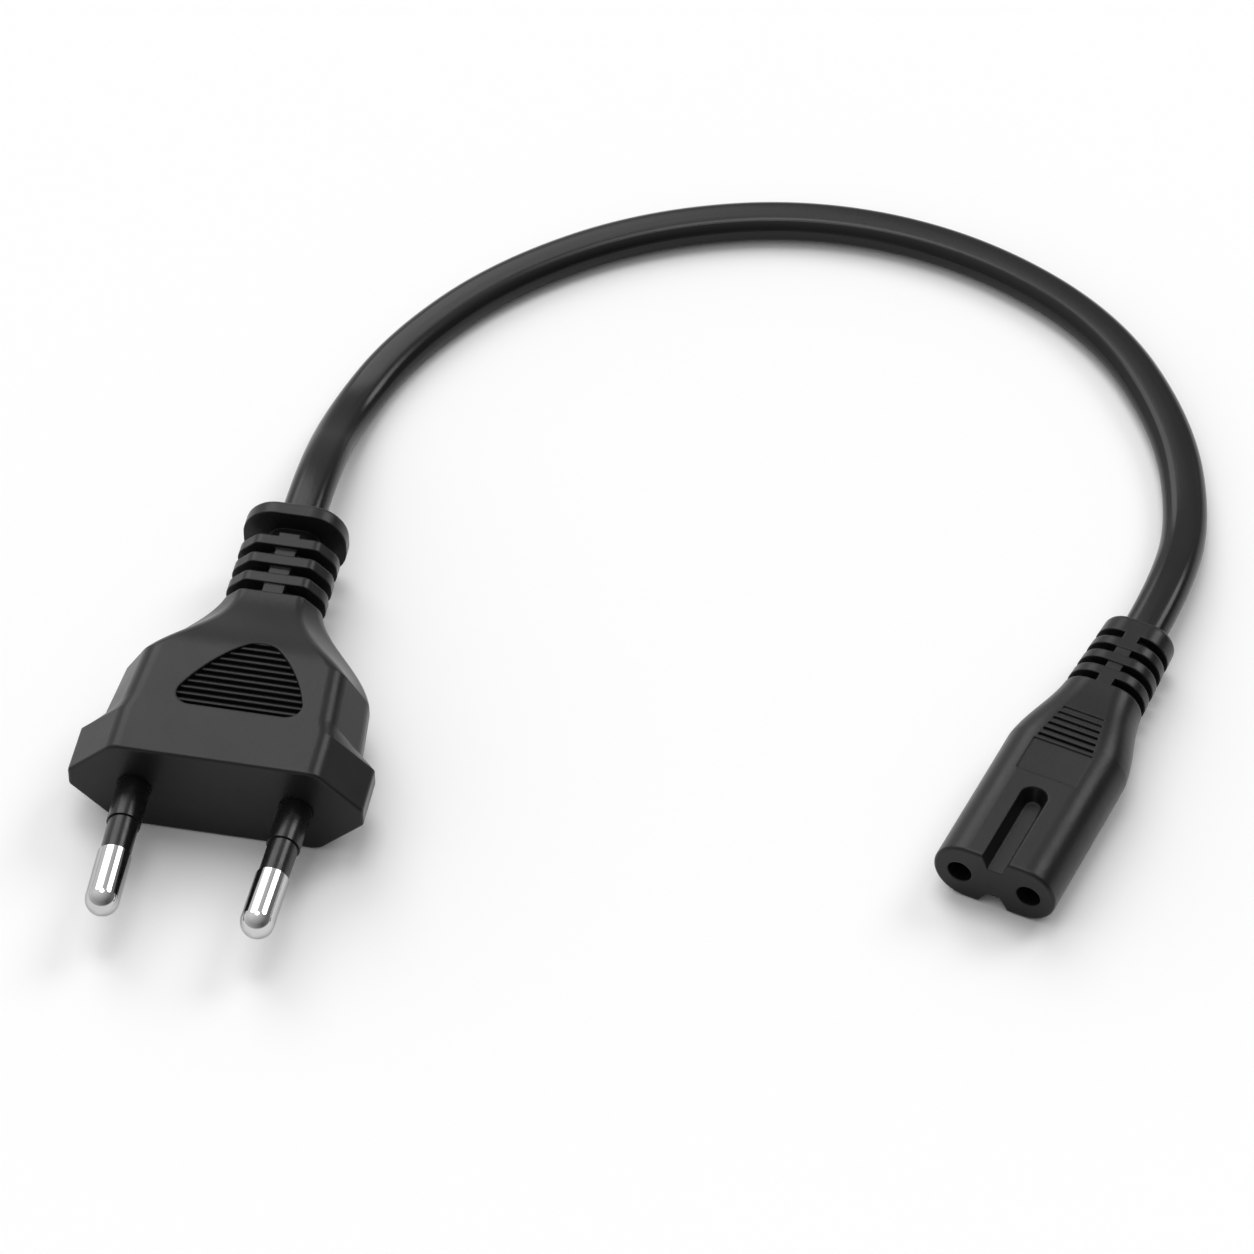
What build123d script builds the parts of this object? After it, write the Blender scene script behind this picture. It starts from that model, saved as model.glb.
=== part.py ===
from build123d import *
import os
from math import atan2, cos, degrees, pi, radians, tan

os.makedirs("parts", exist_ok=True)

# Short two-core mains cord: a flat two-pin plug at one end, a figure-of-eight connector at the other.
# Millimetres. The plug lies flat on Z = 0, its pins point along -Y and the cord leaves it along +Y.
# The origin is under the middle of the plug, measured from its pin tips to its strain relief.
# "Setback" is a distance behind the face that a plug or connector plugs in with.

# Plug face and flange, a long octagon
FACE_WIDTH = 35.0
FACE_HEIGHT = 13.0
FACE_FLAT = 24.1
FACE_END = 2.4
FACE_FLAT_ROUND = 2.4
FACE_END_ROUND = 0.6
FLANGE_DEPTH = 6.6
FLANGE_STEP = 2.0
RIM_ROUND = 0.35

# Plug body behind the flange, which narrows to the strain relief
BODY_WIDTH = 30.9
BODY_FLAT = 23.9
BODY_FLAT_ROUND = 2.6
BODY_END_ROUND = 2.2
SHOULDER_WIDTH = 29.3
SHOULDER_FLAT = 22.8
SHOULDER_SETBACK = 16.6
NECK_WIDTH = 12.1
NECK_HEIGHT = 7.2
NECK_FLAT = 7.4
NECK_END = 2.6
NECK_FLAT_ROUND = 1.4
NECK_SETBACK = 29.9
FLAT_BLEND_POWER = 0.6
FLANK_STRAIGHTNESS = 0.5
BLEND_STATIONS = 6

# Ribbed thumb recess on the plug's upper side
RECESS_WIDTH = 16.3
RECESS_LENGTH = 12.0
RECESS_SETBACK = 8.1
RECESS_OFFSET = 0.6
RECESS_LEAN = 1.2
RECESS_DEPTH = 1.0
RECESS_BULGE = 1.2
RECESS_ROUND = 1.9
RECESS_APEX_ROUND = 3.0
GRIP_PITCH = 1.02
GRIP_RIB = 0.32
GRIP_RIB_DROP = 0.35

# Plug strain relief: ribs over a core, joined by a bridge on the upper and lower side, then a collar
PLUG_RIB_COUNT = 3
PLUG_RIB = 1.5
PLUG_GAP = 1.57
PLUG_LAST_GAP = 2.6
PLUG_TAB_LENGTH = 0.6
PLUG_CORE_WIDTH = 6.4
PLUG_CORE_HEIGHT = 4.4
PLUG_BRIDGE_WIDTH = 2.5
PLUG_BRIDGE_DROP = 0.45
PLUG_FIRST_BRIDGE_DROP = 0.2
COLLAR_WIDTH = 12.6
COLLAR_HEIGHT = 9.6
COLLAR_LENGTH = 2.1
COLLAR_CORNER = 4.2
COLLAR_ROUND = 0.6

# Pins, which lean towards each other
PIN_SPACING = 19.2
PIN_TIP_SPACING = 18.0
PIN_LENGTH = 19.4
PIN_RADIUS = 2.0
PIN_BARE_LENGTH = 8.6
PIN_STEM_RADIUS = 1.4
PIN_HEAD_LENGTH = 4.6
SLEEVE_RADIUS = 1.8
SLEEVE_ROOT_RADIUS = 2.0
SLEEVE_ROOT_LENGTH = 5.9
SLEEVE_SEAT = 0.8

# Rigid bridge that holds both pins inside the plug
BRIDGE_COVER = 1.6
BRIDGE_LENGTH = 7.0
BRIDGE_WIDTH = 26.5
BRIDGE_HEIGHT = 7.4
BRIDGE_ROUND = 1.2
BRIDGE_WINDOW_WIDTH = 7.0
BRIDGE_WINDOW_LENGTH = 3.6

# Flat two-core cord
CORD_WIDTH = 5.4
CORD_HEIGHT = 3.5
CORE_RADIUS = 1.1
CORE_SPACING = 2.4
CONDUCTOR_RADIUS = 0.55
GUIDE_RISE = 8.0
SHEATH_IN_PLUG = 16.5
SHEATH_IN_CONNECTOR = 14.0
CRIMP_RADIUS = 1.15
CRIMP_LENGTH = 4.4
CRIMP_DEPTH = 3.8
STRIPPED_LENGTH = 1.2
LEAD_STRAIGHT = 3.4
LEAD_BEND_RADIUS = 4.0

# Connector face, body and keying grooves
CONNECTOR_WIDTH = 15.2
CONNECTOR_HEIGHT = 8.0
CONNECTOR_EDGE_ROUND = 0.35
WAIST_WIDTH = 15.1
WAIST_SETBACK = 21.0
CONNECTOR_NECK_WIDTH = 10.1
CONNECTOR_NECK_HEIGHT = 7.0
CONNECTOR_NECK_SETBACK = 31.4
KEY_LENGTH = 12.5
KEY_WIDTH = 3.4
KEY_DEPTH = 1.9
KEY_END_ROUND = 1.6
KEY_DRAFT = 22.0
NOTCH_WIDTH = 4.0
NOTCH_DEPTH = 1.9
NOTCH_DRAFT = 32.0

# Sockets and their contacts
SOCKET_SPACING = 8.6
SOCKET_RADIUS = 1.5
SOCKET_WALL = 2.6
CONTACT_BORE_RADIUS = 1.2
CONTACT_RADIUS = 1.55
CONTACT_LENGTH = 10.0
CONTACT_SLIT = 0.4
CONTACT_FLOOR = 0.8
INSERT_RADIUS = 2.25
INSERT_WEB_HEIGHT = 2.6
INSERT_LENGTH = 9.6

# Grip lines and the plain panel on the connector's upper side
GRIP_LINE_COUNT = 6
GRIP_LINE_PITCH = 1.04
GRIP_LINE_WIDTH = 0.45
GRIP_LINE_DEPTH = 0.4
GRIP_LINE_LENGTH = 7.0
GRIP_LINE_LOSS = 0.36
GRIP_LINE_SETBACK = 20.3
PANEL_WIDTH = 7.4
PANEL_LENGTH = 5.2
PANEL_DEPTH = 0.18
PANEL_MARGIN = 0.7

# Connector strain relief
CONNECTOR_RIB_COUNT = 3
CONNECTOR_RIB = 1.36
CONNECTOR_GAP = 1.2
CONNECTOR_COLLAR_LENGTH = 2.9
CONNECTOR_COLLAR_ROUND = 0.8
RELIEF_END_WIDTH = 9.0
RELIEF_END_HEIGHT = 6.2
CONNECTOR_CORE_WIDTH = 6.3
CONNECTOR_CORE_HEIGHT = 4.4
CONNECTOR_BRIDGE_WIDTH = 1.9
CONNECTOR_BRIDGE_DROP = 0.3

# Heights at which the plug, the connector and the cord lie on the surface under them
plug_axis = FACE_HEIGHT / 2
connector_axis = CONNECTOR_HEIGHT / 2
cord_axis = CORD_HEIGHT / 2

# Lengths behind the two faces
plug_relief_length = PLUG_RIB_COUNT * (PLUG_GAP + PLUG_RIB) + PLUG_LAST_GAP
plug_length = NECK_SETBACK + plug_relief_length + COLLAR_LENGTH
connector_relief_length = (CONNECTOR_RIB_COUNT + 1) * CONNECTOR_GAP + CONNECTOR_RIB_COUNT * CONNECTOR_RIB
connector_length = CONNECTOR_NECK_SETBACK + connector_relief_length + CONNECTOR_COLLAR_LENGTH

# The plug's own frame: its face is the plane through this origin, square to Y
plug_frame = Plane(origin=(0, (PIN_LENGTH - plug_length) / 2, 0), x_dir=(1, 0, 0), z_dir=(0, 0, 1))
plug_exit = plug_frame.from_local_coords(Vector(0, plug_length, plug_axis))

# Route of the cord from the plug's collar: sideways, along, and the height of its centre
route_steps = [
    (0.0, 0.0, plug_axis),
    (0.0, 9.6, plug_axis),
    (0.2, 24.1, cord_axis),
    (4.6, 37.9, cord_axis),
    (14.4, 52.3, cord_axis),
    (30.3, 64.4, cord_axis),
    (50.2, 70.5, cord_axis),
    (70.8, 68.3, cord_axis),
    (89.6, 57.9, cord_axis),
    (100.6, 41.5, cord_axis),
    (104.5, 25.7, cord_axis),
    (103.72, 12.3, connector_axis),
    (101.45, 3.95, connector_axis),
]
route = [Vector(plug_exit.X + aside, plug_exit.Y + along, height) for aside, along, height in route_steps]


def corner_radii(points, share=0.45):
    """Radius at each inner point, as large as a share of the shorter run beside it allows."""
    radii = []
    for before, corner, after in zip(points, points[1:], points[2:]):
        arriving = corner - before
        leaving = after - corner
        half_turn = radians(arriving.get_angle(leaving)) / 2
        radii.append(share * min(arriving.length, leaving.length) / tan(half_turn))
    return radii


route_radii = corner_radii(route)
print("cord bend radii, mm:", [round(radius, 1) for radius in route_radii])

# The connector's own frame, in line with the last run of the cord
last_run = route[-1] - route[-2]
connector_turn = degrees(atan2(last_run.Y, last_run.X)) + 90
connector_end = Plane(origin=(route[-1].X, route[-1].Y, 0), x_dir=Vector(1, 0, 0).rotate(Axis.Z, connector_turn))
connector_frame = Plane(
    origin=connector_end.from_local_coords(Vector(0, -connector_length, 0)),
    x_dir=connector_end.x_dir,
)


def across(frame, setback, height):
    """Plane square to a plug or connector, facing out of its face, with its own Y upwards."""
    origin = frame.from_local_coords(Vector(0, setback, height))
    return Plane(origin=origin, x_dir=frame.x_dir, z_dir=-frame.y_dir)


def level(frame, height):
    """Plane over a plug or connector, facing up, with its own Y running back along the cord."""
    return Plane(origin=frame.from_local_coords(Vector(0, 0, height)), x_dir=frame.x_dir)


def blend(start, end, share, straightness=0.0):
    """Value between two others along half a cosine wave, drawn towards a straight line."""
    wave = (1 + cos(pi * share)) / 2
    return end + (start - end) * (wave + straightness * (1 - share - wave))


def rounded_octagon(width, height, flat, end, flat_round, end_round):
    """Octagon with level flats and upright ends, rounded where its bevels meet them."""
    with BuildLine() as outline:
        Polyline(
            (flat / 2, height / 2),
            (width / 2, end / 2),
            (width / 2, -end / 2),
            (flat / 2, -height / 2),
            (-flat / 2, -height / 2),
            (-width / 2, -end / 2),
            (-width / 2, end / 2),
            (-flat / 2, height / 2),
            close=True,
        )
    make_face(outline.edges())
    flats = vertices().group_by(Axis.Y)
    fillet(flats[0] + flats[-1], flat_round)
    ends = vertices().group_by(Axis.X)
    fillet(ends[0] + ends[-1], end_round)


def face_outline():
    """Section of the flange behind the plug's face."""
    rounded_octagon(FACE_WIDTH, FACE_HEIGHT, FACE_FLAT, FACE_END, FACE_FLAT_ROUND, FACE_END_ROUND)


def body_outline(width, flat, height=FACE_HEIGHT, end=FACE_END, flat_round=BODY_FLAT_ROUND):
    """Section of the plug's body between the flange and the end of the ribs."""
    rounded_octagon(width, height, flat, end, flat_round, BODY_END_ROUND)


def sweep_core(points, radius, mode=Mode.ADD):
    """Round core along straight runs joined by bends."""
    with BuildLine() as path:
        FilletPolyline(*points, radius=LEAD_BEND_RADIUS)
    with BuildSketch(Plane(origin=path.line @ 0, z_dir=path.line % 0)) as section:
        Circle(radius)
    sweep(section.sketch, path=path.line, mode=mode)


def sweep_upright(section, path, mode=Mode.ADD):
    """Section along the cord's route, its width kept level by a guide straight above the route."""
    guide = path.wires()[0].moved(Location((0, 0, GUIDE_RISE)))
    sweep(section.sketch, path=path.line, binormal=guide, mode=mode)


def core_in_cord(offset, radius, mode=Mode.ADD):
    """Round core beside the cord's centre line, from sheath end to sheath end."""
    with BuildLine() as path:
        FilletPolyline(*route, radius=route_radii)
    with BuildSketch(across(plug_frame, plug_length, plug_axis)) as plug_section:
        with Locations((offset, 0)):
            Circle(radius)
    with BuildSketch(across(connector_frame, connector_length, connector_axis)) as connector_section:
        with Locations((-offset, 0)):
            Circle(radius)
    sweep_upright(plug_section, path, mode)
    extrude(plug_section.sketch, amount=SHEATH_IN_PLUG, mode=mode)
    extrude(connector_section.sketch, amount=SHEATH_IN_CONNECTOR, mode=mode)


# Pins: each is an axis from its root on the face to its tip
def pin_root(side):
    return plug_frame.from_local_coords(Vector(side * PIN_SPACING / 2, 0, plug_axis))


def pin_tip(side):
    return plug_frame.from_local_coords(Vector(side * PIN_TIP_SPACING / 2, -PIN_LENGTH, plug_axis))


def pin_plane(side):
    """Plane along a pin, with its own X pointing out of the face."""
    return Plane(origin=pin_root(side), x_dir=pin_tip(side) - pin_root(side), z_dir=(0, 0, 1))


def contact_plane(side):
    """Plane along a socket, with its own X pointing out of the face."""
    root = connector_frame.from_local_coords(Vector(side * SOCKET_SPACING / 2, 0, connector_axis))
    return Plane(origin=root, x_dir=-connector_frame.y_dir, z_dir=(0, 0, 1))


pin_reach = (pin_tip(1) - pin_root(1)).length
pin_back = BRIDGE_COVER + BRIDGE_LENGTH + CRIMP_LENGTH
contact_back = SOCKET_WALL + CONTACT_LENGTH + CONTACT_FLOOR + CRIMP_LENGTH


def lead_points(terminal, terminal_back, start, frame, axis_height, sheath_setback, side):
    """Route of one core from a point in its crimp, or behind it, to the end of the sheath."""
    return [
        terminal.from_local_coords(Vector(start - terminal_back, 0, 0)),
        terminal.from_local_coords(Vector(-terminal_back - LEAD_STRAIGHT, 0, 0)),
        frame.from_local_coords(Vector(side * CORE_SPACING / 2, sheath_setback - LEAD_STRAIGHT, axis_height)),
        frame.from_local_coords(Vector(side * CORE_SPACING / 2, sheath_setback, axis_height)),
    ]


def plug_lead(side, start):
    """Core inside the plug, starting a distance into its crimp."""
    sheath_setback = plug_length - SHEATH_IN_PLUG
    return lead_points(pin_plane(side), pin_back, start, plug_frame, plug_axis, sheath_setback, side)


def connector_lead(side, start):
    """Core inside the connector, starting a distance into its crimp."""
    sheath_setback = connector_length - SHEATH_IN_CONNECTOR
    return lead_points(
        contact_plane(side), contact_back, start, connector_frame, connector_axis, sheath_setback, side
    )


sides = {"left": -1, "right": 1}
pins = {}
sleeves = {}
contacts = {}
conductors = {}

# Turned pins: round-ended bare tip, thinner stem under the sleeve, head in the bridge, crimp barrel
for name, side in sides.items():
    with BuildPart() as plug_pin:
        with BuildSketch(pin_plane(side)):
            with BuildLine():
                Polyline(
                    (pin_reach - PIN_RADIUS, PIN_RADIUS),
                    (pin_reach - PIN_BARE_LENGTH, PIN_RADIUS),
                    (pin_reach - PIN_BARE_LENGTH, PIN_STEM_RADIUS),
                    (CRIMP_LENGTH - pin_back + PIN_HEAD_LENGTH, PIN_STEM_RADIUS),
                    (CRIMP_LENGTH - pin_back + PIN_HEAD_LENGTH, PIN_RADIUS),
                    (CRIMP_LENGTH - pin_back, PIN_RADIUS),
                    (CRIMP_LENGTH - pin_back, CRIMP_RADIUS),
                    (-pin_back, CRIMP_RADIUS),
                    (-pin_back, CONDUCTOR_RADIUS),
                    (CRIMP_DEPTH - pin_back, CONDUCTOR_RADIUS),
                    (CRIMP_DEPTH - pin_back, 0),
                    (pin_reach, 0),
                )
                CenterArc((pin_reach - PIN_RADIUS, 0), PIN_RADIUS, 0, 90)
            make_face()
        revolve(axis=Axis(pin_root(side), pin_plane(side).x_dir))
    plug_pin.part.label = f"plug_pin_{name}"
    export_step(plug_pin.part, f"parts/plug_pin_{name}.step")
    pins[name] = plug_pin.part

# Insulating sleeves on the pins' stems, thicker at the root
for name, side in sides.items():
    with BuildPart() as pin_sleeve:
        with BuildSketch(pin_plane(side)):
            with BuildLine():
                Polyline(
                    (pin_reach - PIN_BARE_LENGTH, PIN_STEM_RADIUS),
                    (pin_reach - PIN_BARE_LENGTH, SLEEVE_RADIUS),
                    (SLEEVE_ROOT_LENGTH, SLEEVE_RADIUS),
                    (SLEEVE_ROOT_LENGTH, SLEEVE_ROOT_RADIUS),
                    (-BRIDGE_COVER - SLEEVE_SEAT, SLEEVE_ROOT_RADIUS),
                    (-BRIDGE_COVER - SLEEVE_SEAT, PIN_STEM_RADIUS),
                    close=True,
                )
            make_face()
        revolve(axis=Axis(pin_root(side), pin_plane(side).x_dir))
    pin_sleeve.part.label = f"pin_sleeve_{name}"
    export_step(pin_sleeve.part, f"parts/pin_sleeve_{name}.step")
    sleeves[name] = pin_sleeve.part

# Rigid bridge between the pins, with a window that the soft body is moulded through
with BuildPart() as plug_bridge:
    with BuildSketch(across(plug_frame, BRIDGE_COVER, plug_axis)):
        RectangleRounded(BRIDGE_WIDTH, BRIDGE_HEIGHT, BRIDGE_ROUND)
    extrude(amount=-BRIDGE_LENGTH)
    with BuildSketch(level(plug_frame, plug_axis)):
        with Locations((0, BRIDGE_COVER + BRIDGE_LENGTH / 2)):
            RectangleRounded(BRIDGE_WINDOW_WIDTH, BRIDGE_WINDOW_LENGTH, BRIDGE_ROUND)
    extrude(amount=BRIDGE_HEIGHT, both=True, mode=Mode.SUBTRACT)
    for name in sides:
        add(pins[name], mode=Mode.SUBTRACT)
        add(sleeves[name], mode=Mode.SUBTRACT)
plug_bridge.part.label = "plug_bridge"
export_step(plug_bridge.part, "parts/plug_bridge.step")

# Copper conductors, from the bottom of one crimp to the bottom of the other
for name, side in sides.items():
    with BuildPart() as conductor:
        core_in_cord(side * CORE_SPACING / 2, CONDUCTOR_RADIUS)
        sweep_core(plug_lead(side, CRIMP_DEPTH), CONDUCTOR_RADIUS)
        sweep_core(connector_lead(-side, CRIMP_DEPTH), CONDUCTOR_RADIUS)
    conductor.part.label = f"conductor_{name}"
    export_step(conductor.part, f"parts/conductor_{name}.step")
    conductors[name] = conductor.part

# Insulation on each conductor, stripped back at both crimps
for name, side in sides.items():
    with BuildPart() as core_insulation:
        core_in_cord(side * CORE_SPACING / 2, CORE_RADIUS)
        sweep_core(plug_lead(side, -STRIPPED_LENGTH), CORE_RADIUS)
        sweep_core(connector_lead(-side, -STRIPPED_LENGTH), CORE_RADIUS)
        add(conductors[name], mode=Mode.SUBTRACT)
    core_insulation.part.label = f"core_insulation_{name}"
    export_step(core_insulation.part, f"parts/core_insulation_{name}.step")

# Flat outer sheath round both cores
with BuildPart() as cord_sheath:
    with BuildLine() as sheath_path:
        FilletPolyline(*route, radius=route_radii)
    with BuildSketch(across(plug_frame, plug_length, plug_axis)) as sheath_section:
        SlotOverall(CORD_WIDTH, CORD_HEIGHT)
    sweep_upright(sheath_section, sheath_path)
    extrude(sheath_section.sketch, amount=SHEATH_IN_PLUG)
    with BuildSketch(across(connector_frame, connector_length, connector_axis)):
        SlotOverall(CORD_WIDTH, CORD_HEIGHT)
    extrude(amount=SHEATH_IN_CONNECTOR)
    for side in sides.values():
        core_in_cord(side * CORE_SPACING / 2, CORE_RADIUS, mode=Mode.SUBTRACT)
cord_sheath.part.label = "cord_sheath"
export_step(cord_sheath.part, "parts/cord_sheath.step")


def recess_outline():
    """Three-cornered outline of the thumb recess, its point towards the cord."""
    left = RECESS_OFFSET - RECESS_WIDTH / 2
    right = RECESS_OFFSET + RECESS_WIDTH / 2
    front = RECESS_SETBACK
    back = RECESS_SETBACK + RECESS_LENGTH
    swell = RECESS_WIDTH / 4 + RECESS_BULGE
    middle = (front + back + RECESS_BULGE) / 2
    point = RECESS_OFFSET + RECESS_LEAN
    with BuildLine() as outline:
        Line((left, front), (right, front))
        ThreePointArc((right, front), (RECESS_OFFSET + RECESS_LEAN / 2 + swell, middle), (point, back))
        ThreePointArc((point, back), (RECESS_OFFSET + RECESS_LEAN / 2 - swell, middle), (left, front))
    make_face(outline.edges())
    fillet(vertices().group_by(Axis.Y)[0], RECESS_ROUND)
    fillet(vertices().group_by(Axis.Y)[-1], RECESS_APEX_ROUND)


def relief_gap(frame, setback, axis_height, gap, outline, core, bridge):
    """Gap round a strain relief, down to its core, with a bridge left on the upper and lower side."""
    with BuildSketch(across(frame, setback, axis_height)) as ring:
        Rectangle(*outline)
        SlotOverall(*core, mode=Mode.SUBTRACT)
        Rectangle(*bridge, mode=Mode.SUBTRACT)
    extrude(ring.sketch, amount=-gap, mode=Mode.SUBTRACT)


# Plug body and its strain relief, one soft moulding over the bridge, the crimps and the sheath's end
with BuildPart() as plug_body:
    with BuildSketch(across(plug_frame, 0, plug_axis)):
        face_outline()
    extrude(amount=-FLANGE_DEPTH)
    fillet(faces().sort_by(Axis.Y)[0].edges(), RIM_ROUND)
    with BuildSketch(across(plug_frame, FLANGE_DEPTH, plug_axis)):
        face_outline()
    with BuildSketch(across(plug_frame, FLANGE_DEPTH + FLANGE_STEP, plug_axis)):
        body_outline(BODY_WIDTH, BODY_FLAT)
    loft(ruled=True)
    with BuildSketch(across(plug_frame, FLANGE_DEPTH + FLANGE_STEP, plug_axis)):
        body_outline(BODY_WIDTH, BODY_FLAT)
    with BuildSketch(across(plug_frame, SHOULDER_SETBACK, plug_axis)):
        body_outline(SHOULDER_WIDTH, SHOULDER_FLAT)
    loft(ruled=True)
    for index in range(BLEND_STATIONS + 1):
        share = index / BLEND_STATIONS
        setback = SHOULDER_SETBACK + share * (NECK_SETBACK - SHOULDER_SETBACK)
        with BuildSketch(across(plug_frame, setback, plug_axis)):
            body_outline(
                blend(SHOULDER_WIDTH, NECK_WIDTH, share, FLANK_STRAIGHTNESS),
                blend(SHOULDER_FLAT, NECK_FLAT, share**FLAT_BLEND_POWER),
                blend(FACE_HEIGHT, NECK_HEIGHT, share),
                blend(FACE_END, NECK_END, share),
                blend(BODY_FLAT_ROUND, NECK_FLAT_ROUND, share),
            )
    loft()
    with BuildSketch(across(plug_frame, NECK_SETBACK, plug_axis)):
        body_outline(NECK_WIDTH, NECK_FLAT, NECK_HEIGHT, NECK_END, NECK_FLAT_ROUND)
    extrude(amount=-plug_relief_length)
    with BuildSketch(across(plug_frame, NECK_SETBACK + plug_relief_length, plug_axis)):
        RectangleRounded(COLLAR_WIDTH, COLLAR_HEIGHT, COLLAR_CORNER)
    extrude(amount=-COLLAR_LENGTH)
    collar_faces = faces().filter_by(Axis.Y).sort_by(Axis.Y)
    fillet(collar_faces[-1].edges(), COLLAR_ROUND)
    # the gaps between the ribs, then the wide one before the collar with a short tab behind the last rib
    plug_core = (PLUG_CORE_WIDTH, PLUG_CORE_HEIGHT)
    relief_outline = (2 * NECK_WIDTH, 2 * NECK_HEIGHT)
    for index in range(PLUG_RIB_COUNT):
        setback = NECK_SETBACK + index * (PLUG_GAP + PLUG_RIB)
        drop = PLUG_BRIDGE_DROP if index else PLUG_FIRST_BRIDGE_DROP
        bridge = (PLUG_BRIDGE_WIDTH, NECK_HEIGHT - 2 * drop)
        relief_gap(plug_frame, setback, plug_axis, PLUG_GAP, relief_outline, plug_core, bridge)
    last_rib_end = NECK_SETBACK + plug_relief_length - PLUG_LAST_GAP
    tab = (PLUG_BRIDGE_WIDTH, NECK_HEIGHT)
    relief_gap(plug_frame, last_rib_end, plug_axis, PLUG_TAB_LENGTH, relief_outline, plug_core, tab)
    with BuildSketch(across(plug_frame, last_rib_end + PLUG_TAB_LENGTH, plug_axis)) as last_gap:
        Rectangle(*relief_outline)
        SlotOverall(*plug_core, mode=Mode.SUBTRACT)
    extrude(last_gap.sketch, amount=PLUG_TAB_LENGTH - PLUG_LAST_GAP, mode=Mode.SUBTRACT)
    with BuildSketch(level(plug_frame, FACE_HEIGHT)):
        recess_outline()
    extrude(amount=-RECESS_DEPTH, mode=Mode.SUBTRACT)
    rib_count = int(RECESS_LENGTH / GRIP_PITCH)
    with BuildSketch(level(plug_frame, FACE_HEIGHT - RECESS_DEPTH), mode=Mode.PRIVATE) as grip_bars:
        with Locations((RECESS_OFFSET, RECESS_SETBACK + RECESS_LENGTH / 2)):
            with GridLocations(0, GRIP_PITCH, 1, rib_count):
                Rectangle(RECESS_WIDTH, GRIP_RIB)
    with BuildSketch(level(plug_frame, FACE_HEIGHT - RECESS_DEPTH)):
        recess_outline()
        add(grip_bars.sketch_local, mode=Mode.INTERSECT)
    extrude(amount=RECESS_DEPTH - GRIP_RIB_DROP)
    add(plug_bridge.part, mode=Mode.SUBTRACT)
    for name, side in sides.items():
        add(pins[name], mode=Mode.SUBTRACT)
        add(sleeves[name], mode=Mode.SUBTRACT)
        sweep_core(plug_lead(side, CRIMP_DEPTH), CONDUCTOR_RADIUS, mode=Mode.SUBTRACT)
        sweep_core(plug_lead(side, -STRIPPED_LENGTH), CORE_RADIUS, mode=Mode.SUBTRACT)
    with BuildSketch(across(plug_frame, plug_length, plug_axis)):
        SlotOverall(CORD_WIDTH, CORD_HEIGHT)
    extrude(amount=SHEATH_IN_PLUG, mode=Mode.SUBTRACT)
plug_body.part.label = "plug_body"
export_step(plug_body.part, "parts/plug_body.step")

# Rolled socket contacts with a slit, a floor and a crimp barrel behind
for name, side in sides.items():
    with BuildPart() as contact:
        with BuildSketch(contact_plane(side)):
            with BuildLine():
                Polyline(
                    (-SOCKET_WALL, CONTACT_BORE_RADIUS),
                    (-SOCKET_WALL, CONTACT_RADIUS),
                    (CRIMP_LENGTH - contact_back, CONTACT_RADIUS),
                    (CRIMP_LENGTH - contact_back, CRIMP_RADIUS),
                    (-contact_back, CRIMP_RADIUS),
                    (-contact_back, CONDUCTOR_RADIUS),
                    (CRIMP_DEPTH - contact_back, CONDUCTOR_RADIUS),
                    (CRIMP_DEPTH - contact_back, 0),
                    (-SOCKET_WALL - CONTACT_LENGTH, 0),
                    (-SOCKET_WALL - CONTACT_LENGTH, CONTACT_BORE_RADIUS),
                    close=True,
                )
            make_face()
        revolve(axis=Axis(contact_plane(side).origin, contact_plane(side).x_dir))
        with BuildSketch(contact_plane(side)):
            with Locations((-SOCKET_WALL - CONTACT_LENGTH / 2, side * CONTACT_RADIUS)):
                Rectangle(CONTACT_LENGTH, 2 * (CONTACT_RADIUS - CONTACT_BORE_RADIUS) + CONTACT_SLIT)
        extrude(amount=CONTACT_SLIT / 2, both=True, mode=Mode.SUBTRACT)
    contact.part.label = f"contact_{name}"
    export_step(contact.part, f"parts/contact_{name}.step")
    contacts[name] = contact.part

# Rigid insert that holds both contacts: two barrels joined by a web between the keying grooves
with BuildPart() as connector_insert:
    with BuildSketch(across(connector_frame, SOCKET_WALL, connector_axis)):
        Rectangle(SOCKET_SPACING, INSERT_WEB_HEIGHT)
        with GridLocations(SOCKET_SPACING, 0, 2, 1):
            Circle(INSERT_RADIUS)
        with GridLocations(SOCKET_SPACING, 0, 2, 1):
            Circle(CONTACT_RADIUS, mode=Mode.SUBTRACT)
    extrude(amount=-INSERT_LENGTH)
connector_insert.part.label = "connector_insert"
export_step(connector_insert.part, "parts/connector_insert.step")

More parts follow.
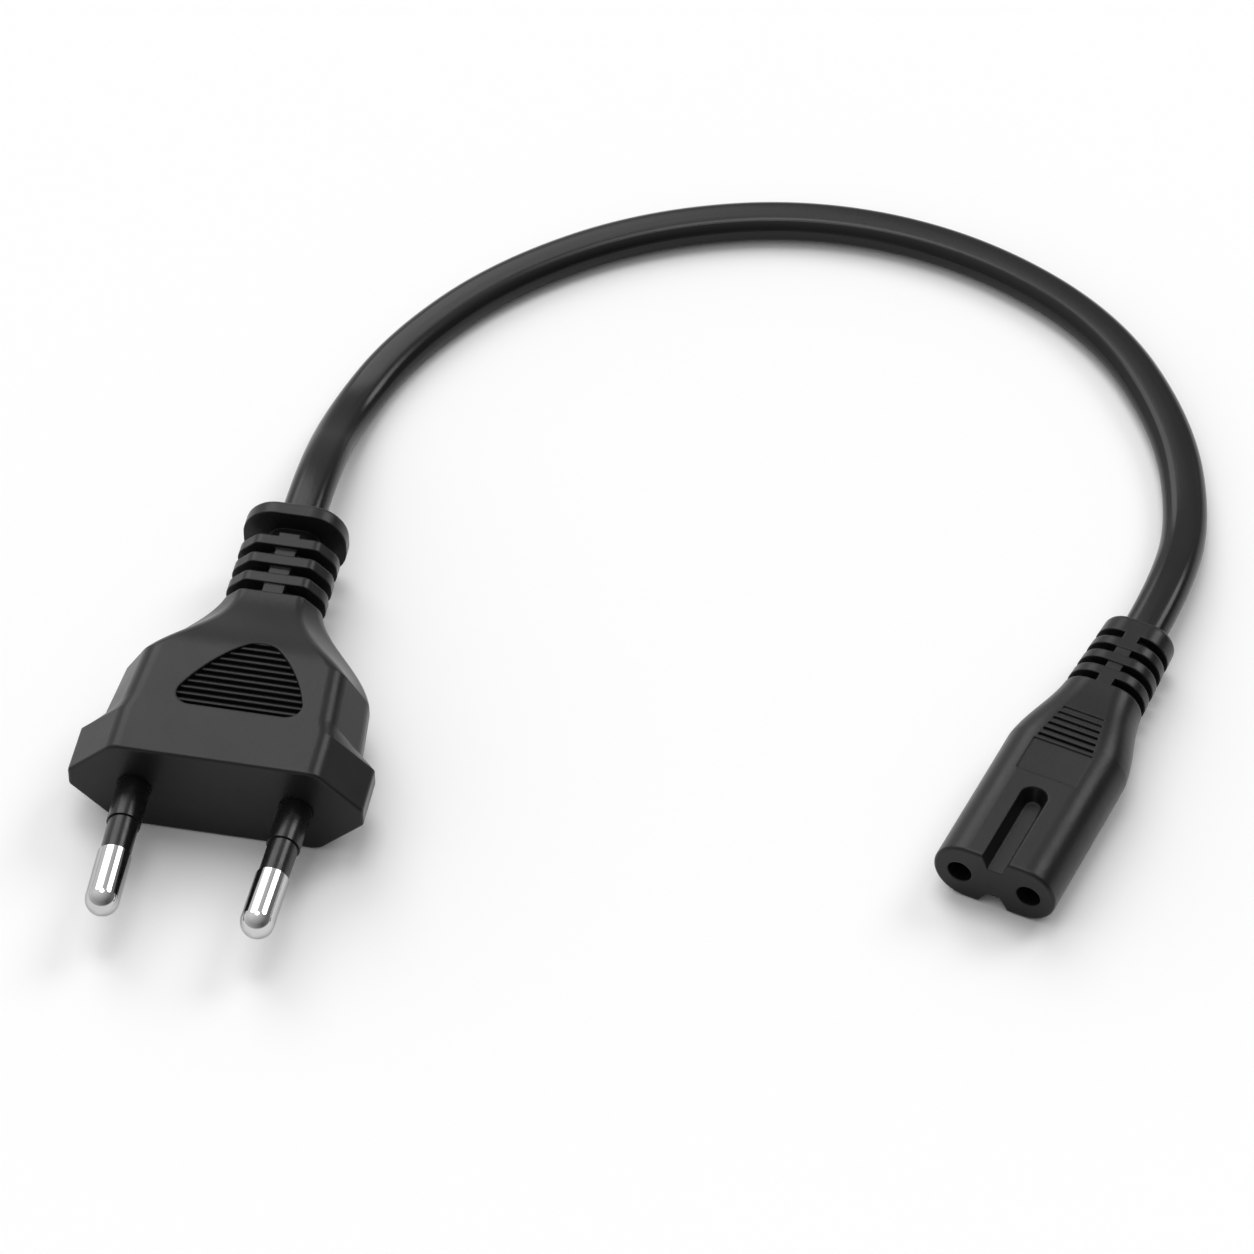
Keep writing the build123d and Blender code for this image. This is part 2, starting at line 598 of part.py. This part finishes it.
# Connector body and its strain relief, one soft moulding
with BuildPart() as connector_body:
    with BuildSketch(across(connector_frame, 0, connector_axis)):
        SlotOverall(CONNECTOR_WIDTH, CONNECTOR_HEIGHT)
    with BuildSketch(across(connector_frame, WAIST_SETBACK, connector_axis)):
        SlotOverall(WAIST_WIDTH, CONNECTOR_HEIGHT)
    loft(ruled=True)
    face_edges = faces().sort_by(Axis((0, 0, 0), connector_frame.y_dir))[0].edges()
    fillet(face_edges, CONNECTOR_EDGE_ROUND)
    for index in range(BLEND_STATIONS + 1):
        share = index / BLEND_STATIONS
        setback = WAIST_SETBACK + share * (CONNECTOR_NECK_SETBACK - WAIST_SETBACK)
        with BuildSketch(across(connector_frame, setback, connector_axis)):
            SlotOverall(
                blend(WAIST_WIDTH, CONNECTOR_NECK_WIDTH, share, FLANK_STRAIGHTNESS),
                blend(CONNECTOR_HEIGHT, CONNECTOR_NECK_HEIGHT, share),
            )
    loft()
    with BuildSketch(across(connector_frame, CONNECTOR_NECK_SETBACK, connector_axis)):
        SlotOverall(CONNECTOR_NECK_WIDTH, CONNECTOR_NECK_HEIGHT)
    with BuildSketch(across(connector_frame, connector_length, connector_axis)):
        SlotOverall(RELIEF_END_WIDTH, RELIEF_END_HEIGHT)
    loft(ruled=True)
    end_edges = faces().sort_by(Axis((0, 0, 0), connector_frame.y_dir))[-1].edges()
    fillet(end_edges, CONNECTOR_COLLAR_ROUND)
    for index in range(CONNECTOR_RIB_COUNT + 1):
        drop = CONNECTOR_BRIDGE_DROP if 0 < index < CONNECTOR_RIB_COUNT else 0
        relief_gap(
            connector_frame,
            CONNECTOR_NECK_SETBACK + index * (CONNECTOR_GAP + CONNECTOR_RIB),
            connector_axis,
            CONNECTOR_GAP,
            (2 * CONNECTOR_NECK_WIDTH, 2 * CONNECTOR_NECK_HEIGHT),
            (CONNECTOR_CORE_WIDTH, CONNECTOR_CORE_HEIGHT),
            (CONNECTOR_BRIDGE_WIDTH, CONNECTOR_NECK_HEIGHT - 2 * drop),
        )
    # keying grooves: one open to the top, one to the underside, both with sloping walls
    with BuildSketch(level(connector_frame, CONNECTOR_HEIGHT)):
        Rectangle(KEY_WIDTH, 2 * KEY_LENGTH)
        fillet(vertices().group_by(Axis.Y)[-1], KEY_END_ROUND)
    extrude(amount=-KEY_DEPTH, taper=KEY_DRAFT, mode=Mode.SUBTRACT)
    with BuildSketch(level(connector_frame, 0)):
        SlotCenterToCenter(2 * KEY_LENGTH - NOTCH_WIDTH, NOTCH_WIDTH, rotation=90)
    extrude(amount=NOTCH_DEPTH, taper=NOTCH_DRAFT, mode=Mode.SUBTRACT)
    # grip lines, shorter towards the cord, and the plain sunk panel in front of them
    for index in range(GRIP_LINE_COUNT):
        with BuildSketch(level(connector_frame, CONNECTOR_HEIGHT)):
            with Locations((0, GRIP_LINE_SETBACK + index * GRIP_LINE_PITCH)):
                SlotOverall(GRIP_LINE_LENGTH - index * GRIP_LINE_LOSS, GRIP_LINE_WIDTH)
        extrude(amount=-GRIP_LINE_DEPTH, mode=Mode.SUBTRACT)
    with BuildSketch(level(connector_frame, CONNECTOR_HEIGHT)):
        with Locations((0, GRIP_LINE_SETBACK - PANEL_MARGIN - PANEL_LENGTH / 2)):
            Rectangle(PANEL_WIDTH, PANEL_LENGTH)
    extrude(amount=-PANEL_DEPTH, mode=Mode.SUBTRACT)
    add(connector_insert.part, mode=Mode.SUBTRACT)
    with BuildSketch(across(connector_frame, 0, connector_axis)):
        with GridLocations(SOCKET_SPACING, 0, 2, 1):
            Circle(SOCKET_RADIUS)
    extrude(amount=-SOCKET_WALL, mode=Mode.SUBTRACT)
    with BuildSketch(across(connector_frame, SOCKET_WALL, connector_axis)):
        with GridLocations(SOCKET_SPACING, 0, 2, 1):
            Circle(CONTACT_RADIUS)
    extrude(amount=-(CONTACT_LENGTH + CONTACT_FLOOR), mode=Mode.SUBTRACT)
    for name, side in sides.items():
        add(contacts[name], mode=Mode.SUBTRACT)
        sweep_core(connector_lead(side, CRIMP_DEPTH), CONDUCTOR_RADIUS, mode=Mode.SUBTRACT)
        sweep_core(connector_lead(side, -STRIPPED_LENGTH), CORE_RADIUS, mode=Mode.SUBTRACT)
    with BuildSketch(across(connector_frame, connector_length, connector_axis)):
        SlotOverall(CORD_WIDTH, CORD_HEIGHT)
    extrude(amount=SHEATH_IN_CONNECTOR, mode=Mode.SUBTRACT)
connector_body.part.label = "connector_body"
export_step(connector_body.part, "parts/connector_body.step")
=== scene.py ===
"""Looks for a short two-core mains cord: flat two-pin plug, flat cable, figure-of-eight connector.

Metres, in the same frame as the solids: the plug lies flat on Z = 0 and its pins point along -Y.
"""

from math import cos, pi, radians, sin
from typing import NamedTuple

import bpy
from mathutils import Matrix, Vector


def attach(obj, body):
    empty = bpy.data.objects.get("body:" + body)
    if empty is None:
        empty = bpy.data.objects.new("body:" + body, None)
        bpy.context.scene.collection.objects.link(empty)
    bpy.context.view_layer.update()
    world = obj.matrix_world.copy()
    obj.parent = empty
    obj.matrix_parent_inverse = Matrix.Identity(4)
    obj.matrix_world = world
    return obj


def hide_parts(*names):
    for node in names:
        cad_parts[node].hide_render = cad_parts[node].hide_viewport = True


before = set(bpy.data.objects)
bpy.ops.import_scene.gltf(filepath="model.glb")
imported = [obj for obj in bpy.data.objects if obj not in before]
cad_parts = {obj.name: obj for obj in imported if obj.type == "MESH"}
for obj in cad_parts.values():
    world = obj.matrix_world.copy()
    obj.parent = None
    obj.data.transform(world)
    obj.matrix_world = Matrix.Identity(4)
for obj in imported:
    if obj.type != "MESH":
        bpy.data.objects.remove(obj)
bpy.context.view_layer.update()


class Pattern(NamedTuple):
    """Noise over a piece, on coordinates that may be stretched along each axis."""

    scale: float
    detail: float = 3.0
    stretch: tuple = (1.0, 1.0, 1.0)
    coordinates: str = "Object"


class Finish(NamedTuple):
    """Look of a material: two colours and two roughness values, each blended by a pattern."""

    colours: tuple
    tint: Pattern
    roughness: tuple
    sheen: Pattern
    reliefs: tuple  # pairs of a pattern and its depth
    settings: dict  # shader's inputs that are the same all over
    edge: float = 0.0  # radius that sharp edges are shaded with


class Softbox(NamedTuple):
    """Soft round lamp, its angles in degrees: azimuth 0 is behind the part, along +Y."""

    azimuth: float
    elevation: float
    width: float
    strength: float


class Grade(NamedTuple):
    """Brightness that goes from first to last as a direction's part along the axis does."""

    axis: str
    start: float
    end: float
    first: float
    last: float


def grey(value):
    """Neutral colour of one linear value."""
    return (value, value, value, 1.0)


# Camera: where it stands, what it looks at, its lens for the square picture and its clipping
CAMERA_EYE = Vector((0.141537, -0.498711, 0.573934))
CAMERA_AIM = Vector((0.040529, 0.029317, 0.0))
CAMERA_LENS_MM = 188.6
CAMERA_SENSOR_MM = 36.0
CAMERA_NEAR = 0.01
CAMERA_FAR = 100.0

# Cord: the point where it leaves the plug's collar, and its route from there, the same as the
# solids': the distance aside and along, and the height of its centre
CORD_EXIT = Vector((0.0, 0.031605, 0.0065))
CORD_ROUTE = [
    (0.0, 0.0, 0.0065),
    (0.0, 0.0096, 0.0065),
    (0.0002, 0.0241, 0.00175),
    (0.0046, 0.0379, 0.00175),
    (0.0144, 0.0523, 0.00175),
    (0.0303, 0.0644, 0.00175),
    (0.0502, 0.0705, 0.00175),
    (0.0708, 0.0683, 0.00175),
    (0.0896, 0.0579, 0.00175),
    (0.1006, 0.0415, 0.00175),
    (0.1045, 0.0257, 0.00175),
    (0.10372, 0.0123, 0.0040),
    (0.10145, 0.00395, 0.0040),
]
CORD_WIDTH = 0.0054
CORD_HEIGHT = 0.0035

# Drawn cord: how deep it sits in each moulding, and the steps between two of its route's points
# and round each of its edges
CORD_SEAT = 0.004
SPLINE_STEPS = 24
EDGE_STEPS = 20

# Materials. Every noise has the same roughness, and only its middle range is used
NOISE_ROUGHNESS = 0.55
NOISE_LOW = 0.3
NOISE_HIGH = 0.7
EDGE_SAMPLES = 6

# Lines along the cable, from when it was drawn, and marks across the length of polished metal
DRAWN = (12.0, 60.0, 1.0)
MARKS = Pattern(scale=1.0, detail=4.0, stretch=(300.0, 2600.0, 300.0))
MARK_DEPTH = 0.0000012
METAL_TINT = Pattern(scale=90.0)
METAL = {"Metallic": 1.0, "Specular Tint": grey(0.6)}

FINISHES = {
    # Soft plastic of the plug and the connector, with the fine grain of its mould
    "moulded_black": Finish(
        colours=(grey(0.006), grey(0.0095)),
        tint=Pattern(scale=45.0),
        roughness=(0.28, 0.36),
        sheen=Pattern(scale=120.0, detail=5.0),
        reliefs=(
            (Pattern(scale=160.0, detail=2.0), 0.00002),
            (Pattern(scale=2600.0, detail=2.0), 0.000012),
        ),
        settings={"IOR": 1.35},
        edge=0.0003,
    ),
    # Smoother sheath of the cord
    "cable_black": Finish(
        colours=(grey(0.0055), grey(0.008)),
        tint=Pattern(scale=70.0),
        roughness=(0.17, 0.23),
        sheen=Pattern(scale=2.0, detail=4.0, stretch=DRAWN, coordinates="UV"),
        reliefs=(
            (Pattern(scale=1.0, stretch=DRAWN, coordinates="UV"), 0.00002),
            (Pattern(scale=3000.0, detail=2.0), 0.000006),
        ),
        settings={"IOR": 1.35},
    ),
    # Hard, smooth plastic of the pins' sleeves
    "sleeve_black": Finish(
        colours=(grey(0.006), grey(0.009)),
        tint=Pattern(scale=200.0),
        roughness=(0.2, 0.3),
        sheen=Pattern(scale=500.0),
        reliefs=((Pattern(scale=1800.0, detail=2.0), 0.000006),),
        settings={"IOR": 1.42},
    ),
    # Bright plate of the pins
    "nickel_plate": Finish(
        colours=(grey(0.54), grey(0.6)),
        tint=METAL_TINT,
        roughness=(0.05, 0.1),
        sheen=MARKS,
        reliefs=((MARKS, MARK_DEPTH),),
        settings=METAL,
    ),
    # Duller spring metal of the contacts in the connector
    "contact_plate": Finish(
        colours=((0.50, 0.44, 0.32, 1.0), (0.62, 0.55, 0.42, 1.0)),
        tint=METAL_TINT,
        roughness=(0.2, 0.35),
        sheen=MARKS,
        reliefs=((MARKS, MARK_DEPTH),),
        settings=METAL,
    ),
    # Hard plastic inside the mouldings
    "rigid_pale": Finish(
        colours=((0.56, 0.56, 0.53, 1.0), (0.63, 0.63, 0.6, 1.0)),
        tint=Pattern(scale=150.0),
        roughness=(0.4, 0.5),
        sheen=Pattern(scale=400.0),
        reliefs=((Pattern(scale=2000.0, detail=2.0), 0.00001),),
        settings={},
    ),
}

# Solids that are shown as they are, by their finish
DRESSED = {
    "moulded_black": ("plug_body", "connector_body"),
    "sleeve_black": ("pin_sleeve_left", "pin_sleeve_right"),
    "nickel_plate": ("plug_pin_left", "plug_pin_right"),
    "contact_plate": ("contact_left", "contact_right"),
    "rigid_pale": ("plug_bridge", "connector_insert"),
}

# Floor: a pale square just under the part
FLOOR_SIZE = 12.0
FLOOR_DROP = 0.00004
FLOOR_LOOK = {"Base Color": grey(0.97), "Roughness": 0.8, "Specular IOR Level": 0.0}

SOFTBOXES = {
    "softbox_left": Softbox(azimuth=-33.0, elevation=42.0, width=35.0, strength=0.68),
    "softbox_right": Softbox(azimuth=40.0, elevation=40.0, width=25.0, strength=0.65),
    "softbox_top": Softbox(azimuth=-10.0, elevation=73.0, width=26.0, strength=0.6),
}

# Studio round the part: walls that darken to the right and, by a factor, to the front, an
# overhead glow that adds to them, and a pale band low down that the walls rise from
STUDIO_SIDES = Grade(axis="X", start=-0.7, end=0.7, first=0.85, last=0.2)
STUDIO_DEPTH = Grade(axis="Y", start=-0.6, end=0.2, first=0.6, last=1.0)
STUDIO_TOP = Grade(axis="Z", start=0.5, end=1.0, first=0.0, last=0.28)
STUDIO_RISE = Grade(axis="Z", start=0.06, end=0.12, first=0.0, last=1.0)
STUDIO_LOW = 0.7


def add_object(name, data):
    """New object of that data in the scene."""
    thing = bpy.data.objects.new(name, data)
    bpy.context.scene.collection.objects.link(thing)
    return thing


def turn_to(thing, direction):
    """Turns a camera or a lamp, which look along their own -Z, to a direction."""
    thing.rotation_euler = direction.to_track_quat("-Z", "Y").to_euler()


def add_camera():
    """Camera at the photograph's viewing angle."""
    data = bpy.data.cameras.new("camera")
    data.lens = CAMERA_LENS_MM
    data.sensor_width = CAMERA_SENSOR_MM
    data.sensor_fit = "HORIZONTAL"
    data.clip_start = CAMERA_NEAR
    data.clip_end = CAMERA_FAR
    camera = add_object("camera", data)
    camera.location = CAMERA_EYE
    turn_to(camera, CAMERA_AIM - CAMERA_EYE)
    bpy.context.scene.camera = camera


def smooth_line(points, steps):
    """Points read from one smooth curve that the route's points control."""
    curve = bpy.data.curves.new("route", "CURVE")
    curve.dimensions = "3D"
    spline = curve.splines.new("NURBS")
    spline.points.add(len(points) - 1)
    for control, point in zip(spline.points, points):
        control.co = (*point, 1.0)
    spline.order_u = 3
    spline.use_endpoint_u = True
    spline.resolution_u = steps
    holder = add_object("route", curve)
    bpy.context.view_layer.update()
    mesh = bpy.data.meshes.new_from_object(holder)
    line = [vertex.co.copy() for vertex in mesh.vertices]
    bpy.data.meshes.remove(mesh)
    bpy.data.objects.remove(holder)
    bpy.data.curves.remove(curve)
    return line


def slot_section(width, height, steps):
    """Outline of a flat cord, two half circles joined by flats: pairs of sideways and upward."""
    radius = height / 2
    reach = width / 2 - radius
    outline = []
    for centre, start in ((reach, -pi / 2), (-reach, pi / 2)):
        for step in range(steps + 1):
            angle = start + pi * step / steps
            outline.append((centre + radius * cos(angle), radius * sin(angle)))
    return outline


def tube_mesh(name, line, outline):
    """Closed tube with that section along the line, its broad side kept level, and a UV map."""
    up = Vector((0, 0, 1))
    count = len(outline)
    vertices = []
    travelled = []
    distance = 0.0
    for index, point in enumerate(line):
        before = line[max(index - 1, 0)]
        after = line[min(index + 1, len(line) - 1)]
        along = (after - before).normalized()
        side = along.cross(up).normalized()
        top = side.cross(along)
        vertices += [point + side * across + top * rise for across, rise in outline]
        distance += (point - before).length
        travelled.append(distance)
    last = len(vertices) - count
    faces = []
    for low in range(0, last, count):
        high = low + count
        for step in range(count):
            following = (step + 1) % count
            faces.append((low + step, low + following, high + following, high + step))
    faces.append(tuple(range(count - 1, -1, -1)))
    faces.append(tuple(range(last, last + count)))
    mesh = bpy.data.meshes.new(name)
    mesh.from_pydata(vertices, [], faces)
    map_along(mesh, travelled, count)
    mesh.polygons.foreach_set("use_smooth", [True] * len(mesh.polygons))
    mesh.update()
    return mesh


def map_along(mesh, travelled, count):
    """UV map of a tube: U is the distance along it in metres, V goes once round its section."""
    layer = mesh.uv_layers.new(name="along")
    for polygon in mesh.polygons:
        places = [divmod(mesh.loops[i].vertex_index, count) for i in polygon.loop_indices]
        closing = max(step for _, step in places) == count - 1
        for i, (ring, step) in zip(polygon.loop_indices, places):
            around = count if closing and step == 0 else step
            layer.data[i].uv = (travelled[ring], around / count)


def add_cord():
    """Flat cable from the plug's collar to the connector's relief, a little way into both."""
    route = [
        Vector((CORD_EXIT.x + aside, CORD_EXIT.y + along, height))
        for aside, along, height in CORD_ROUTE
    ]
    line = smooth_line(route, SPLINE_STEPS)
    start_run = (route[0] - route[1]).normalized()
    end_run = (route[-1] - route[-2]).normalized()
    line = [line[0] + start_run * CORD_SEAT, *line, line[-1] + end_run * CORD_SEAT]
    mesh = tube_mesh("cord", line, slot_section(CORD_WIDTH, CORD_HEIGHT, EDGE_STEPS))
    mesh.materials.append(finish_material("cable_black"))
    cord = add_object("cord", mesh)
    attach(cord, "root")
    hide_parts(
        "cord_sheath",
        "core_insulation_left",
        "core_insulation_right",
        "conductor_left",
        "conductor_right",
    )


class Nodes:
    """Node tree of a material or of the world, built up a step at a time."""

    def __init__(self, owner):
        owner.use_nodes = True
        self.tree = owner.node_tree

    def node(self, kind, **values):
        """New node, with its settings or its input values."""
        node = self.tree.nodes.new(kind)
        for key, value in values.items():
            if hasattr(node, key):
                setattr(node, key, value)
            else:
                node.inputs[key.replace("_", " ").title()].default_value = value
        return node

    def link(self, source, target):
        """Joins an output to an input."""
        self.tree.links.new(source, target)

    def spread(self, value, start, end, first, last):
        """Goes from first to last while the value goes from start to end."""
        ranger = self.node(
            "ShaderNodeMapRange", from_min=start, from_max=end, to_min=first, to_max=last
        )
        self.link(value, ranger.inputs["Value"])
        return ranger.outputs["Result"]


class Shader(Nodes):
    """Node tree of one material with its principled shader."""

    def __init__(self, name):
        self.material = bpy.data.materials.new(name)
        super().__init__(self.material)
        self.inputs = self.tree.nodes["Principled BSDF"].inputs
        self.noises = {}

    def noise(self, pattern):
        """Grey noise of a pattern, one node however often it is asked for."""
        if pattern not in self.noises:
            coordinates = self.node("ShaderNodeTexCoord")
            place = self.node("ShaderNodeMapping", scale=pattern.stretch)
            noise = self.node(
                "ShaderNodeTexNoise",
                scale=pattern.scale,
                detail=pattern.detail,
                roughness=NOISE_ROUGHNESS,
            )
            self.link(coordinates.outputs[pattern.coordinates], place.inputs["Vector"])
            self.link(place.outputs["Vector"], noise.inputs["Vector"])
            self.noises[pattern] = noise.outputs["Fac"]
        return self.noises[pattern]

    def colour(self, pattern, low, high):
        """Colour between two others by a pattern."""
        mixer = self.node("ShaderNodeValToRGB")
        dark, light = mixer.color_ramp.elements
        dark.position, dark.color = NOISE_LOW, low
        light.position, light.color = NOISE_HIGH, high
        self.link(self.noise(pattern), mixer.inputs["Fac"])
        self.link(mixer.outputs["Color"], self.inputs["Base Color"])

    def roughness(self, pattern, low, high):
        """Roughness between two values by a pattern."""
        value = self.spread(self.noise(pattern), NOISE_LOW, NOISE_HIGH, low, high)
        self.link(value, self.inputs["Roughness"])

    def soften(self, radius):
        """Sharp edges shaded as if rounded to that radius, called before any relief."""
        bevel = self.node("ShaderNodeBevel", samples=EDGE_SAMPLES, radius=radius)
        self.link(bevel.outputs["Normal"], self.inputs["Normal"])

    def relief(self, pattern, depth):
        """Relief of that depth in metres, laid over any earlier one."""
        bump = self.node("ShaderNodeBump", strength=1.0, distance=depth)
        self.link(self.noise(pattern), bump.inputs["Height"])
        normal = self.inputs["Normal"]
        if normal.is_linked:
            self.link(normal.links[0].from_socket, bump.inputs["Normal"])
        self.link(bump.outputs["Normal"], normal)

    def set(self, values):
        """Values on the principled shader's own inputs."""
        for name, value in values.items():
            self.inputs[name].default_value = value


def finish_material(name):
    """Material with the finish of that name."""
    finish = FINISHES[name]
    shader = Shader(name)
    shader.colour(finish.tint, *finish.colours)
    shader.roughness(finish.sheen, *finish.roughness)
    if finish.edge:
        shader.soften(finish.edge)
    for pattern, depth in finish.reliefs:
        shader.relief(pattern, depth)
    shader.set(finish.settings)
    return shader.material


def dress(material, *nodes):
    """Puts a material on every face of the named solids."""
    for name in nodes:
        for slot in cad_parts[name].material_slots:
            slot.material = material


def add_floor():
    """Wide pale floor just under the part."""
    shader = Shader("floor")
    shader.set(FLOOR_LOOK)
    half = FLOOR_SIZE / 2
    corners = [(-half, -half), (half, -half), (half, half), (-half, half)]
    mesh = bpy.data.meshes.new("floor")
    mesh.from_pydata([(x, y, -FLOOR_DROP) for x, y in corners], [], [(0, 1, 2, 3)])
    mesh.materials.append(shader.material)
    floor = add_object("floor", mesh)


def add_softbox(name, softbox):
    """Lamp far away, which lights the part from the softbox's side."""
    data = bpy.data.lights.new(name, "SUN")
    data.energy = softbox.strength
    data.angle = radians(softbox.width)
    azimuth, elevation = radians(softbox.azimuth), radians(softbox.elevation)
    flat = cos(elevation)
    towards = Vector((sin(azimuth) * flat, cos(azimuth) * flat, sin(elevation)))
    turn_to(add_object(name, data), -towards)


def add_world():
    """Studio round the part, which lights it and shows in its sheen."""
    world = bpy.data.worlds.new("studio")
    bpy.context.scene.world = world
    studio = Nodes(world)
    coordinates = studio.node("ShaderNodeTexCoord")
    way = studio.node("ShaderNodeSeparateXYZ")
    studio.link(coordinates.outputs["Generated"], way.inputs["Vector"])
    sides, depth, top, rise = (
        studio.spread(way.outputs[grade.axis], grade.start, grade.end, grade.first, grade.last)
        for grade in (STUDIO_SIDES, STUDIO_DEPTH, STUDIO_TOP, STUDIO_RISE)
    )
    walls = studio.node("ShaderNodeMath", operation="MULTIPLY_ADD")
    for source, target in zip((sides, depth, top), walls.inputs):
        studio.link(source, target)
    band = studio.node("ShaderNodeMix", a=STUDIO_LOW)
    studio.link(rise, band.inputs["Factor"])
    studio.link(walls.outputs["Value"], band.inputs["B"])
    background = studio.tree.nodes["Background"]
    studio.link(band.outputs["Result"], background.inputs["Color"])


add_camera()
add_cord()
for name, nodes in DRESSED.items():
    dress(finish_material(name), *nodes)
add_floor()
for name, softbox in SOFTBOXES.items():
    add_softbox(name, softbox)
add_world()
bpy.context.scene.view_settings.view_transform = "Standard"
